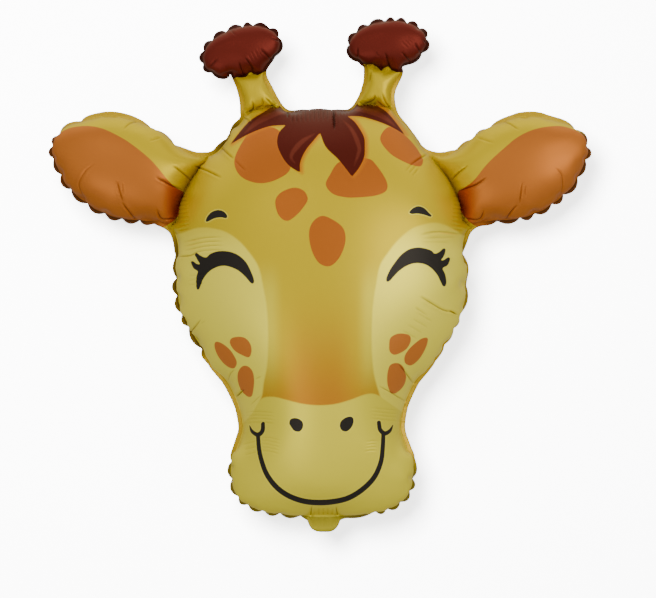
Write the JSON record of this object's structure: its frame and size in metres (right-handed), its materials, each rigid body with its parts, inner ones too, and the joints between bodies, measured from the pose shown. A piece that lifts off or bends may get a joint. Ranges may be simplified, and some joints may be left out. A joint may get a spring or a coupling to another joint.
{
  "type": "giraffe head balloon",
  "caption": "Sealed foil balloon shaped as a smiling giraffe's head, inflated and lying on its back, with swelling ears and knobbed horns, a scalloped weld edge and a filling tail.",
  "frame": {"origin": "centre of the bounding box, at the floor that the back's flat spot lies on", "axes": "+X to the right of the picture across the ears, +Y to the horns, +Z out of the printed front"},
  "size_m": [0.852, 0.8082, 0.2877],
  "materials": {
    "printed_foil": "satin"
  },
  "bodies": {
    "root": {"balloon": "printed_foil"}
  },
  "joints": []
}
